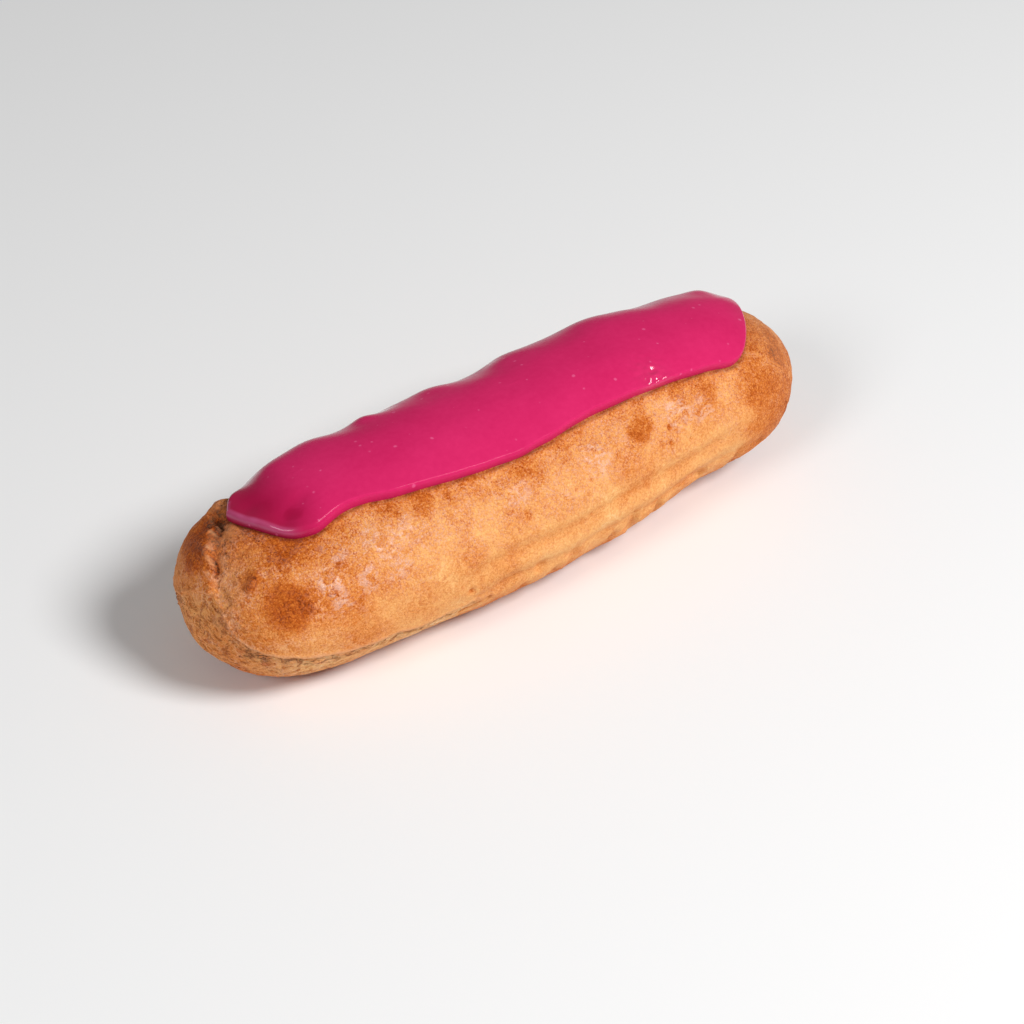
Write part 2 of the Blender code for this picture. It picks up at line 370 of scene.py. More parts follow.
tip_reach = np.linalg.norm(plain[:, :2] - TEAR_FOOT, axis=1)
seam_base = SEAM_LOW + SEAM_RISE * np.abs(plain_x / HALF_LENGTH) ** 3
climb = bell(tip_reach, 0.0, TEAR_CLIMB_REACH)
seam_top = seam_base + TEAR_CLIMB * climb
shake = 0.8 * MM * wander(plain, 6 * MM, 5.0) + 0.35 * MM * wander(plain, 1.8 * MM, 9.0)
below_seam = seam_top - plain_z + shake
seam_side = 1.0 - along(-32, -13)
porous_end = seam_top - seam_base + POROUS_DEPTH
porous = smooth_step(0.1 * MM, 0.6 * MM, below_seam)
porous = porous * (1.0 - smooth_step(-0.7 * MM, 0.5 * MM, below_seam - porous_end))
porous = porous * seam_side * (1.0 - 0.85 * smooth_step(0.10, 0.60, climb))
print(f"foot: {np.count_nonzero(porous > 0.5)} points in its porous band")

# %% Rolled edge, holes and layers of the foot
RIM_RISE, FOOT_STEP = 0.22 * MM, 0.48 * MM
LAYER_PITCH = 0.85 * MM
LAYER_HEIGHT, RAGGED_HEIGHT, HOLE_DEPTH = 0.14 * MM, 0.34 * MM, 0.75 * MM

rolled_edge = bell(below_seam, -0.30 * MM, 0.32 * MM) * seam_side
stepped_in = seam_side * smooth_step(-0.1 * MM, 0.7 * MM, below_seam)
holes = 1.0 - smooth_step(0.10, 0.34, cells(jitter(plain, 2 * MM, 0.4 * MM), 1.7 * MM, 2.0))
holes = holes * smooth_step(-0.05, 0.2, wander(plain, 4 * MM, 17.0))
layers = np.cos(below_seam / LAYER_PITCH * 2 * math.pi)
ragged = wander(plain, 1.3 * MM, 21.0)
foot = RIM_RISE * rolled_edge - FOOT_STEP * stepped_in
foot += porous * (LAYER_HEIGHT * layers + RAGGED_HEIGHT * ragged - HOLE_DEPTH * holes)
print(f"foot: steps in by up to {-foot.min() / MM:.1f} mm")

# %% [markdown]
# ## Nozzle ridges, pits and pebbled skin
# The nozzle's teeth leave faint lengthwise ridges low on the flank. Higher up the crust blisters
# into a fine pebbled skin, and here and there a bubble has burst and left a pit. Ridges follow a
# cosine of the height, the skin is noise of several sizes, and the pits are small deep hollows.

# %% Pits, folds and the ragged lower edge
# Each pit is (x, y, z, radius, height) in millimetres.
PITS = (
    (27.4, -18.4, 25.7, 0.68, -0.88), (26.7, -19.8, 23.0, 0.54, -0.62), (31.4, -18.5, 24.9, 0.47, -0.50),
    (31.7, -19.8, 21.7, 0.47, -0.50), (24.4, -19.6, 24.1, 0.54, -0.50), (24.6, -19.8, 23.3, 0.47, -0.50),
    (-9.3, -21.3, 24.4, 0.61, -0.75), (-9.2, -21.8, 23.4, 0.54, -0.62), (2.3, -21.0, 24.3, 0.47, -0.50),
    (-23.4, -22.4, 13.3, 0.61, -0.75), (5.9, -20.6, 24.5, 0.47, -0.38), (41.0, -17.6, 24.0, 0.47, -0.38),
    (-44.0, -12.9, 30.1, 0.47, -0.50), (14.0, -20.8, 22.6, 0.47, -0.38), (-33.5, -13.2, 30.6, 0.47, -0.50),
    (-59.4, 7.4, 27.6, 0.70, -0.20), (12.0, 19.5, 22.0, 0.61, -0.75), (-20.0, 19.0, 20.0, 0.61, -0.62),
    (-68.5, -2.0, 19.5, 0.60, -0.70), (-67.8, -6.5, 17.0, 0.68, -0.62), (-66.0, -9.8, 13.0, 0.68, -0.62),
)
FOLD_RISE, SLIT_DEPTH, BITE_DEPTH = 0.55 * MM, 0.9 * MM, 1.1 * MM
FOLD = np.array([(-60.4, -7.4, 27.6), (-62.0, -8.2, 26.6), (-63.9, -8.8, 24.8)]) * MM
LOWER_TEAR = np.array([(-24.5, -20.2, 7.0), (-21.9, -20.8, 7.6), (-19.2, -21.8, 8.9)]) * MM

pits = humps(plain, PITS)
fold_reach, fold_share, _ = along_chain(jitter(plain, 2 * MM, 0.5 * MM), FOLD)
fold = bell(fold_reach, 0.0, 0.85 * MM) * smooth_step(0.0, 0.2, 1.0 - np.abs(2 * fold_share - 1))
slit = bell(along_chain(jitter(plain, 1.5 * MM, 0.3 * MM), LOWER_TEAR)[0], 0.0, 0.55 * MM)
lower_edge = bell(plain_z, 8.5 * MM, 3.5 * MM) * along(-25, -5)
bites = smooth_step(0.0, 0.45, wander(plain * [1.0, 1.0, 0.4], 3.6 * MM, 31.0)) * lower_edge
print(len(PITS), "pits")

# %% Nozzle ridges
RIDGE_PITCH, RIDGE_HALF_DEPTH = 6.2 * MM, 0.34 * MM
LOWEST_RIDGE = 8 * MM

shaken_z = plain_z + 1.8 * MM * wander(plain, 14 * MM, 2.0)
ridged = up(8, 12) * (1.0 - up(18, 23)) * along(-35, -10) * (1.0 - along(30, 58))
ridge_wave = np.cos((shaken_z - LOWEST_RIDGE) / RIDGE_PITCH * 2 * math.pi)
ridges = RIDGE_HALF_DEPTH * ridged * (ridge_wave - 1.0)
print(f"ridges {-ridges.min() / MM:.1f} mm deep")

# %% Pebbled and wrinkled skin
BROAD_HEIGHT, MIDDLING_HEIGHT, SMALL_HEIGHT = 0.22 * MM, 0.16 * MM, 0.07 * MM
WRINKLE_HEIGHT = 0.09 * MM

upper_skin = up(12, 24)
broad, middling = wander(plain, 13 * MM, 1.0), wander(plain, 5 * MM, 4.0)
small, pebbly = wander(plain, 2.1 * MM, 7.0), wander(plain, 1.15 * MM, 3.0)
pebbles = 0.5 - cells(plain, 1.5 * MM, 13.0)
wrinkles = 1.0 - np.abs(wander(plain * [0.7, 1.0, 1.0], 3.4 * MM, 41.0)) * 2.2
skin = BROAD_HEIGHT * broad + MIDDLING_HEIGHT * middling + SMALL_HEIGHT * small
skin += MM * (0.04 + 0.05 * upper_skin) * (pebbles + pebbly)
skin += WRINKLE_HEIGHT * np.maximum(wrinkles, 0.0) ** 3 * smooth_step(0.0, 0.3, broad + 0.3)
print(f"skin rises and falls by {(skin.max() - skin.min()) / MM:.1f} mm")

# %% [markdown]
# ## The finished crust
# All the relief is added up and the points move out along the plain bun's normals. The bottom is
# then cut flat, so that the bun rests as the solid one does, but for the shallow pores that a tray
# leaves in the base.

# %% Move the crust's points
TRAY_PORE_DEPTH = 0.10 * MM

mounds = humps(plain, MOUNDS)
relief = mounds + tear + foot + ridges + skin + FOLD_RISE * fold + pits
relief -= SLIT_DEPTH * slit + BITE_DEPTH * bites
crust = plain + plain_normals * relief[:, None]
tray_pores = 1.0 - smooth_step(0.15, 0.45, cells(crust * [1.0, 1.0, 0.0], 2.4 * MM))
crust[:, 2] = np.maximum(crust[:, 2], TRAY_PORE_DEPTH * tray_pores)
crust_middle = (crust[:, 1].min() + crust[:, 1].max()) / 2
CENTRE = np.array([0.0, (BUN_LOW[1] + BUN_HIGH[1]) / 2 - crust_middle, BUN_LOW[2]])
move_points(bun_mesh, crust + CENTRE)
bun_crust = bpy.data.objects.new("bun_crust", bun_mesh)
bpy.context.scene.collection.objects.link(bun_crust)
print(f"crust shifted {CENTRE[1] / MM:.2f} mm across to stand where the solid bun stands")

# %% [markdown]
# ## The icing's outline
# Warm fondant is poured along the back and stops where it cools, so its edge wanders. The outline is
# a long rounded strip whose middle line drifts to one side at both ends. Each side has its own list
# of waves and its own rounding at the ends, where the width falls to nothing by a power of the
# distance. The crust needs the outline too, for a narrow dark line along the icing's edge and for
# browning near it.

# %% Outline of the icing
ICING_START, ICING_END = -57.6 * MM, 60.2 * MM
ICING_HALF_WIDTH = 12.7 * MM
START_CAP, FAR_START_CAP = 10.0 * MM, 15.0 * MM
NEAR_END_CAP, FAR_END_CAP = 14.0 * MM, 11.5 * MM
NEAR_FULLNESS, FAR_FULLNESS, FAR_CURVE = 0.60, 0.85, 1.7
EDGE_TREMBLE = 0.16 * MM
ICING_MIDDLE_X = (ICING_START + ICING_END) / 2
ICING_HALF_LENGTH = (ICING_END - ICING_START) / 2
# Each wave is (place along the bun, spread, gain) in millimetres.
NEAR_WAVES = ((-50.5, 2.5, -0.7), (-40.5, 6.0, -1.5), (-5.0, 10.0, 1.1), (22.0, 11.0, -0.5), (46.0, 4.0, 0.3))
FAR_WAVES = ((-48.0, 5.0, 0.8), (-14.0, 5.0, 1.5), (-4.0, 9.0, 0.9), (20.0, 6.0, 0.5), (52.0, 4.0, 0.8))


def icing_middle(x):
    """The sideways place of the icing's middle line."""
    drift = 3.4 * MM * (1.0 - smooth_step(-45 * MM, -12 * MM, x))
    drift = drift + 2.8 * MM * (1.0 - smooth_step(ICING_START, ICING_START + 7 * MM, x))
    return drift + 3.4 * MM * smooth_step(47 * MM, ICING_END, x)


def icing_edge(x, side):
    """Half the icing's width at x, on the +Y (1) or -Y (-1) side."""
    width = ICING_HALF_WIDTH + 0 * x
    for waves, this_side in ((NEAR_WAVES, side < 0), (FAR_WAVES, side > 0)):
        wave = sum(gain * MM * bell(x, place * MM, spread * MM) for place, spread, gain in waves)
        width = width + wave * this_side
    width = width + EDGE_TREMBLE * wander(np.stack([x, side * 40 * MM, 0 * x], axis=1), 4.5 * MM, 8.5)
    start_cap = np.where(side > 0, FAR_START_CAP, START_CAP)
    past_start = np.clip((ICING_START + start_cap - x) / start_cap, 0.0, 1.0)
    end_cap = np.where(side > 0, FAR_END_CAP, NEAR_END_CAP)
    past_end = np.clip((x - ICING_END + end_cap) / end_cap, 0.0, 1.0)
    near_cap = ((1.0 - past_start ** 2) * (1.0 - past_end ** 2)) ** NEAR_FULLNESS
    far_cap = (1.0 - past_start ** FAR_CURVE) * (1.0 - past_end ** FAR_CURVE) ** FAR_FULLNESS
    return width * np.where(side > 0, far_cap, near_cap)


def past_outline(x, y):
    """How far a point in plan lies outside the icing's outline; it's negative inside."""
    side = np.where(y >= icing_middle(x), 1.0, -1.0)
    edge = icing_middle(x) + side * icing_edge(x, side)
    nudge = 0.1 * MM
    ahead = icing_middle(x + nudge) + side * icing_edge(x + nudge, side)
    slope = np.clip((ahead - edge) / nudge, -12.0, 12.0)
    beyond = np.maximum(ICING_START - x, x - ICING_END)
    inside_ends = (y - edge) * side / np.hypot(1.0, slope)
    return np.where(beyond > 0, np.hypot(beyond, np.abs(y - edge)), inside_ends)


past_icing = past_outline(plain_x, plain[:, 1])
print(f"icing covers {np.mean(past_icing < 0):.0%} of the crust's points")

# %% [markdown]
# ## Where the crust browned, and where light and shade are painted on it
# Colour follows shape: what stood proud in the oven browned, and what tore open late stayed pale.
# Some colour also stands in for light. Shade is painted into the hollow by the tear, the pits,
# cracks, holes, gaps and ridge troughs, and a shadow over the round end's lower part. Light from below
# is painted on the foot, a highlight along the flap's edge, and glints and sheen of the key light
# high on the flank. Seven numbers are stored at every point, and the crust's material reads them:
# - how brown each place is, with the painted shade and the foot's painted light;
# - the pale dough that tore open late, with the flap edge's painted highlight;
# - a narrow dark line along the icing's edge;
# - the places where egg wash gathered and the crust shines, with a painted sheen;
# - where the skin is grainy and painted glints gather;
# - where shreds of torn dough show, with the foot's painted light;
# - where the skin stretched into a fine net.
# They could be painted by hand, but numbers made from the same shapes always stay in step with them.

# %% Browned patches and glazed places
# Each is (x, y, z, radius in millimetres, strength).
BROWNED = (
    (-66.3, 4.5, 24.8, 3.6, 0.13), (-61.5, 11.0, 25.0, 6.0, 0.12), (-59.0, -15.3, 23.2, 5.5, 0.19),
    (-62.4, -8.0, 26.3, 2.4, 0.12), (-53.9, -7.9, 29.3, 3.4, 0.06), (-56.6, -8.4, 28.2, 2.8, 0.05),
    (-28.5, -13.3, 31.0, 3.4, 0.09), (-5.7, -17.0, 29.0, 4.0, 0.06), (1.2, -18.4, 27.7, 3.0, 0.05),
    (20.6, -17.2, 27.6, 3.4, 0.14), (12.3, -19.4, 25.4, 1.8, 0.08), (14.6, -21.6, 19.7, 3.0, 0.06),
    (20.4, -21.2, 18.6, 2.5, 0.07), (62.5, -6.5, 25.5, 3.4, 0.12), (60.5, -11.5, 23.9, 3.0, 0.14),
    (39.3, -16.2, 26.8, 3.0, 0.06), (50.0, -14.5, 24.5, 6.0, 0.05), (37.5, -18.8, 22.8, 5.5, 0.05),
    (60.0, 8.0, 25.0, 6.0, 0.05), (-47.0, -20.5, 14.5, 3.6, 0.04), (-36.0, -21.6, 15.0, 3.0, 0.04),
    (-59.5, 7.5, 27.3, 1.8, 0.07),
)
# The glazed places have a real gloss, and their sheen of the key light is also painted into the colour.
GLAZED_AND_SHEEN = (
    (-47.3, -13.3, 28.6, 2.6, 0.8), (-50.5, -16.6, 25.5, 2.8, 1.0), (-50.0, -19.0, 22.7, 2.2, 1.0),
    (-44.2, -18.8, 24.3, 3.0, 1.0), (-40.0, -14.0, 29.2, 2.6, 0.6), (-34.2, -15.0, 29.3, 3.2, 0.5),
    (-37.4, -19.5, 24.0, 2.8, 0.9), (-38.7, -17.0, 27.3, 2.6, 0.7), (9.0, -18.7, 27.0, 3.4, 0.9),
    (30.5, -16.8, 27.0, 3.4, 0.9), (36.0, -17.6, 25.6, 3.0, 0.9), (-9.0, -18.6, 27.2, 3.0, 0.5),
)


def patches_of(points, rows):
    """Adds up patches that are flat in their middle and fade at a wandering edge."""
    total = np.zeros(len(points))
    for x, y, z, radius, strength in rows:
        share = reach_from(points, x, y, z) / (radius * MM)
        total += strength * (1.0 - smooth_step(0.55, 1.15, share))
    return total


uneven = jitter(plain, 2.5 * MM, 1.1 * MM)
browned_spots = patches_of(uneven, BROWNED)
print(len(BROWNED), "browned spots and", len(GLAZED_AND_SHEEN), "glazed ones")

# %% How brown each point is
BASE_BROWNING = 0.392

# Browner at the round end, most below its top: partly the end's own browning, partly a painted shadow on its
# lower part.
round_end_and_shadow = along(38, 60) * (1.0 - 0.72 * up(20, 28))
blunt_end = 1.0 - along(-66, -50)
on_top = plain_z > WAIST
off_tray = smooth_step(1.5 * MM, 5.0 * MM, crust[:, 2])
flat_base = 1.0 - smooth_step(0.1 * MM, 0.9 * MM, crust[:, 2])
scorched = 1.0 - smooth_step(3.5 * MM, 8.0 * MM, crust[:, 2] + 1.5 * MM * small)
# The foot under the seam faces down; it is lightened as painted light thrown up from the floor.
bounce_lit_foot = off_tray * stepped_in * along(-66, -56)

# Each line adds what one cause did: height, an end, an edge, the tray, a hollow or a bump. Some lines paint
# shade or light into the colour instead, as their own comments say.
browning_and_shade = BASE_BROWNING + 0.07 * broad + 0.06 * middling + browned_spots
browning_and_shade += 0.10 * up(18, 30)
# The round end's browning with its painted shadow, and the blunt end's browning.
browning_and_shade += 0.231 * round_end_and_shadow + 0.0385 * blunt_end
browning_and_shade += 0.12 * (1.0 - along(-52, -28))
browning_and_shade += 0.11 * bell(past_icing, 0.0, 4 * MM) * on_top
# Painted shade in the hollow just past the tear's step.
browning_and_shade += 0.10 * bell(past_tear, 1.0 * MM, 1.6 * MM) * tear_ends
# Painted shade in the troughs of the nozzle ridges.
browning_and_shade += 0.065 * ridged * (0.3 - ridge_wave)
# The tray scorched the lowest band. On the foot under the seam, painted light from below takes part of that
# back and lightens the band further.
browning_and_shade += 0.24 * scorched * (1.0 - 0.7 * bounce_lit_foot) - 0.14 * bounce_lit_foot
browning_and_shade += (0.05 - 0.16 * tray_pores) * flat_base
# Painted shade in the pits, in the slit low on the flank and in the crack below the flap's step.
browning_and_shade += 0.42 * np.clip(-pits / MM, 0.0, 1.0) + 0.45 * slit + 0.42 * crack * tear_ends
# Painted shade in the foot's holes and in the bites along the lower edge; the ragged noise and the layers are
# the dough's own tone.
browning_and_shade += porous * (0.50 * holes + 0.30 * ragged + 0.10 * layers) + 0.09 * bites
browning_and_shade += 0.135 * np.clip((relief - mounds) / MM, -0.3, 0.3)
print(f"browning from {browning_and_shade.min():.2f} to {browning_and_shade.max():.2f}")

# %% Pale dough with painted highlights, a dark line at the icing's edge, and glazed places
TEAR_TOP = -59.2, 7.8, 27.6

# A painted highlight along the flap's edge, where the step faces the key light.
lit_flap_edge = bell(past_tear, -0.15 * MM, 0.42 * MM) * tear_ends * smooth_step(-0.25, 0.05, small)
pale_and_highlit = 0.36 * hollow * (0.75 + 0.60 * fibres) + 0.36 * porous * (1.0 - holes)
pale_and_highlit += 0.85 * rolled_edge * (1.0 - 0.8 * smooth_step(0.15, 0.60, climb)) + 0.8 * lit_flap_edge
pale_and_highlit *= 1.0 - 0.9 * crack * tear_ends
pale_and_highlit *= 1.0 - 0.9 * bell(reach_from(plain, *TEAR_TOP), 0.0, 2.0 * MM)
pale_and_highlit += 0.22 * along(54, 61) * up(17, 25)
# A narrow dark line along the icing's edge on the crust.
icing_edge_line = bell(past_icing, 0.15 * MM, 0.40 * MM) * on_top
glazed_and_sheen = patches_of(uneven, GLAZED_AND_SHEEN)
print(f"pale dough on {np.mean(pale_and_highlit > 0.2):.0%} of the points")

# %% Where the skin is speckled and glints, torn or webbed, and where the foot is painted lighter
# Grainy skin, where painted glints of the key light also gather: high on the flank and at the round end.
speckled_and_glinting = np.clip(0.9 * up(17, 29) + 0.4 * middling, 0.0, 1.0)
speckled_and_glinting *= 1.0 - np.clip(3.5 * browned_spots, 0.0, 0.9)
speckled_and_glinting = np.maximum(speckled_and_glinting, along(50, 60))
tip_dough = 0.30 * smooth_step(62 * MM, 67 * MM, -plain_x) * (plain_z < 21 * MM)
# Painted light from below on the foot under the seam, which faces down.
painted_foot_light = 0.5 * seam_side * smooth_step(0.2 * MM, 1.0 * MM, below_seam)
torn_dough_and_foot_light = np.maximum.reduce([porous, tip_dough, painted_foot_light, 0.4 * hollow]) * off_tray
webbed = (1.0 - along(-54, -38)) * (0.8 + 0.6 * middling)
webbed *= 1.0 - np.clip(4.0 * browned_spots, 0.0, 0.9)
print(f"speckled skin on {np.mean(speckled_and_glinting > 0.5):.0%} of the points")

# %% Store the numbers on the crust
def store(mesh, name, values):
    """Keeps one number per point on a mesh, where a material can read it by name."""
    kept = mesh.attributes.new(name, "FLOAT", "POINT")
    kept.data.foreach_set("value", np.clip(values, 0.0, 1.0).astype(np.float32))


CRUST_NUMBERS = (
    ("browning_and_shade", browning_and_shade), ("pale_and_highlit", pale_and_highlit), ("icing_edge_line", icing_edge_line), ("glazed_and_sheen", glazed_and_sheen),
    ("speckled_and_glinting", speckled_and_glinting), ("torn_dough_and_foot_light", torn_dough_and_foot_light), ("webbed", webbed),
)
for name, values in CRUST_NUMBERS:
    store(bun_mesh, name, values)
print(len(CRUST_NUMBERS), "numbers stored at each point of the crust")

# %% [markdown]
# ## The icing
# The icing's mesh is another closed skin: the middle ring is the edge on the crust, the upper half
# rolls up over the lip and runs to the middle, and the lower half closes the piece inside the bun,
# where nothing shows. Rings that roll over a quarter circle make a smoother lip than a bevel would.
# Each ring inside the lip is a smaller copy of the outline. The outline's corners would show as
# creases in all of them, so the inner rings follow a softened copy of it.

# %% Points over the crust
SLOPE_STEP = 0.2 * MM


def on_crust(x, y, height):
    """Points at a height above the crust, measured square to it, over points in plan."""
    slope_x = (crown_height(x + SLOPE_STEP, y) - crown_height(x - SLOPE_STEP, y)) / (2 * SLOPE_STEP)
    slope_y = (crown_height(x, y + SLOPE_STEP) - crown_height(x, y - SLOPE_STEP)) / (2 * SLOPE_STEP)
    outward = np.stack([-slope_x, -slope_y, np.ones_like(x)], axis=1)
    outward /= np.linalg.norm(outward, axis=1, keepdims=True)
    skin_points = np.stack([x, y, crown_height(x, y)], axis=1)
    lift = humps(skin_points, MOUNDS) + BROAD_HEIGHT * wander(skin_points, 13 * MM, 1.0) + height
    return skin_points + outward * lift[:, None]


def soften(loop, reach):
    """Averages every value of a closed loop with `reach` neighbours on both sides, twice."""
    for _ in range(2):
        loop = np.mean([np.roll(loop, step) for step in range(-reach, reach + 1)], axis=0)
    return loop


print("a corner, softened:", soften(np.array([0.0, 0.0, 0.0, 1.0, 0.0, 0.0, 0.0]), 1).round(2))


# %% The icing's edge
LIP_RINGS, ICING_RINGS, ICING_COLUMNS = 14, 52, 720

icing_mesh, ring, icing_column = closed_skin("fondant", 2 * ICING_RINGS, ICING_COLUMNS)
icing_ring = np.abs(ring - ICING_RINGS)
upper = ring >= ICING_RINGS
turn = icing_column / ICING_COLUMNS * 2 * math.pi
edge_x = ICING_MIDDLE_X + ICING_HALF_LENGTH * np.cos(turn)
side = np.where(np.sin(turn) >= 0, 1.0, -1.0)
edge_y = icing_middle(edge_x) + side * icing_edge(edge_x, side)
spine_x = np.clip(edge_x, ICING_START + ICING_HALF_WIDTH, ICING_END - ICING_HALF_WIDTH)
inward = np.stack([spine_x - edge_x, icing_middle(spine_x) - edge_y], axis=1)
inward /= np.linalg.norm(inward, axis=1, keepdims=True)
print(f"icing {(edge_y.max() - edge_y.min()) / MM:.1f} mm across")

# %% Roll the rings over the lip and in to the middle
LIP_HEIGHT, LIP_RADIUS, LIP_TUCK = 2.1 * MM, 0.7 * MM, math.radians(20)
BLUNT_LIP_EXTRA = 0.9
HIDDEN_INSET = 0.4 * MM
CORNER_REACH = 22

roll = -LIP_TUCK + (math.pi / 2 + LIP_TUCK) * np.minimum(icing_ring / LIP_RINGS, 1.0)
lip_rise = (np.sin(roll) + math.sin(LIP_TUCK)) / (1.0 + math.sin(LIP_TUCK))
blunt_lip = 1.0 - smooth_step(-50 * MM, -36 * MM, edge_x)
lip_radius = LIP_RADIUS * (1.0 + BLUNT_LIP_EXTRA * blunt_lip)
lip_inset = lip_radius * (1.0 - np.cos(roll))
share = np.where(upper, (icing_ring - LIP_RINGS) / (ICING_RINGS - LIP_RINGS), icing_ring / ICING_RINGS)
share = np.maximum(share, 0.0)
inset = np.where(upper, lip_inset, lip_radius * (1.0 - math.cos(LIP_TUCK)) + HIDDEN_INSET)
plan_x = edge_x + inward[:, 0] * inset
plan_y = edge_y + inward[:, 1] * inset
loop = slice(1, 1 + ICING_COLUMNS)
rounding = smooth_step(0.0, 0.4, share)
plan_x += rounding * (soften(edge_x[loop], CORNER_REACH) - edge_x[loop])[icing_column]
plan_y += rounding * (soften(edge_y[loop], CORNER_REACH) - edge_y[loop])[icing_column]
middle_x = ICING_MIDDLE_X + (edge_x - ICING_MIDDLE_X) * 0.9 * (1 - share)
plan_x = plan_x + (middle_x - plan_x) * share
plan_y = plan_y + (icing_middle(plan_x) - plan_y) * share
print("lip rolled over", LIP_RINGS, "rings of", ICING_RINGS)

# %% Thickness, settling and small swells of the icing
# Each swell is (x, y, z, radius, height) in millimetres.
ICING_SWELLS = (
    (-45.0, 12.5, 30.5, 4.5, 0.9), (-35.0, 12.0, 31.0, 5.0, 0.7), (-23.5, 11.5, 32.0, 2.6, 1.0),
    (-18.0, 13.0, 31.0, 3.0, -0.35), (-7.0, 12.0, 32.0, 4.5, 0.9), (10.0, 12.0, 31.0, 5.0, 0.8),
    (29.0, 11.0, 32.0, 6.0, 0.9), (43.0, 10.0, 31.0, 4.0, -0.4), (56.5, 8.5, 28.0, 2.8, 0.7),
    (-51.5, -4.0, 30.5, 2.0, -0.5), (-47.0, -2.0, 31.5, 1.8, -0.35), (-54.5, 3.0, 30.0, 2.0, -0.3),
)
GAP = 0.35 * MM
ICING_THICKNESS = ICING_HIGH[2] - BUN_HIGH[2] - GAP
POOLED_SHARE = 0.80
SINK = 0.5 * MM
BUBBLED_PLACE, BUBBLED_REACH, BUBBLE_HEIGHT = (28.0, -11.0, 31.5), 3.4 * MM, 0.5 * MM

pool = np.sin(np.minimum(share / POOLED_SHARE, 1.0) * math.pi / 2)
height = LIP_HEIGHT * lip_rise + (ICING_THICKNESS - LIP_HEIGHT) * pool
over = np.stack([plan_x, plan_y, crown_height(plan_x, plan_y)], axis=1)
settled = MM * (0.16 * wander(over, 11 * MM, 6.0) + 0.06 * wander(over, 4.5 * MM, 3.0))
settled += humps(over, ICING_SWELLS)
bubbled = bell(reach_from(over, *BUBBLED_PLACE), 0.0, BUBBLED_REACH)
settled += BUBBLE_HEIGHT * bubbled * wander(over * [0.7, 1.0, 1.0], 0.85 * MM, 12.0)
height = np.where(upper, height + settled * lip_rise - SINK * (1.0 - lip_rise), -2 * SINK)
move_points(icing_mesh, on_crust(plan_x, plan_y, height) + CENTRE)
fondant = bpy.data.objects.new("fondant", icing_mesh)
bpy.context.scene.collection.objects.link(fondant)
print(len(icing_mesh.vertices), "points in the icing, up to", f"{height.max() / MM:.1f} mm thick")

# %% [markdown]
# ## Wet places, and painted shade and reflection on the icing
# Set fondant is satin, and only some places stay wet enough to mirror a light: the lip at both ends,
# parts of the far lip, and a small patch of burst bubbles. Over the blunt end the icing is painted
# darker as shade, where it turns away from the key light, with a few darker mottles. A pale painted
# reflection of the fill light runs along the lip there, with a fainter one at the round end. Three
# numbers at each point say so: wet, shade with mottles, and painted reflection.

# %% Store the numbers on the icing
# Each is (x, y, z, radius in millimetres, strength).
DARK_MOTTLES = (
    (-52.8, 0.9, 30.3, 1.9, 0.25), (-49.2, -3.9, 30.8, 1.8, 0.32), (-54.0, -1.5, 29.6, 1.2, 0.20),
)

on_lip = upper * (1.0 - smooth_step(LIP_RINGS, LIP_RINGS + 10, icing_ring))
wet_ends = 0.50 * (1.0 - smooth_step(-54 * MM, -46 * MM, plan_x))
wet_ends += 0.5 * smooth_step(50 * MM, 57 * MM, plan_x)
far_lip = upper * (side > 0) * (1.0 - smooth_step(LIP_RINGS + 2, LIP_RINGS + 13, icing_ring))
far_lip *= smooth_step(0.0, 0.25, wander(over, 7 * MM, 81.0))
# Darker over the blunt end, as painted shade where the icing turns away from the key light.
shaded_and_mottled = 1.0 - smooth_step(-54 * MM, -42 * MM, plan_x + 0.8 * MM * wander(over, 5 * MM))
# A few darker mottles in the icing there.
shaded_and_mottled += patches_of(jitter(over, 2.0 * MM, 0.6 * MM), DARK_MOTTLES)
# A pale painted reflection of the fill light along the lip at the blunt end, and a fainter one at the round
# end.
lip_reflection = upper * smooth_step(3, 7, icing_ring)
lip_reflection *= 1.0 - smooth_step(LIP_RINGS - 3, LIP_RINGS + 1, icing_ring)
lip_reflection *= (1.0 - smooth_step(-54.5 * MM, -49 * MM, plan_x)) * (plan_y < icing_middle(plan_x) + 2 * MM)
lip_reflection += 0.5 * upper * bell(icing_ring, 4, 3) * smooth_step(54 * MM, 58 * MM, plan_x)
store(icing_mesh, "wet", 0.9 * bubbled + on_lip * (wet_ends + 0.04) + 0.7 * far_lip)
store(icing_mesh, "shaded_and_mottled", shaded_and_mottled)
store(icing_mesh, "lip_reflection", 0.38 * lip_reflection * (1.0 + 0.6 * wander(over, 2 * MM, 71.0)))
print(f"thin icing on {np.mean(shaded_and_mottled > 0.5):.0%} of its points")

# %% [markdown]
# ## Helpers for finishes
# A material is a tree of nodes. These few helpers add a node, set or link its inputs and hand back
# its output, so that each finish below reads like a recipe.

# %% Helpers for node trees
def linear(red, green, blue):
    """A screen colour, 0 to 255 for each channel, as the linear colour that shaders use."""
    def channel(value):
        value /= 255
        return value / 12.92 if value <= 0.04045 else ((value + 0.055) / 1.055) ** 2.4
    return (channel(red), channel(green), channel(blue), 1.0)


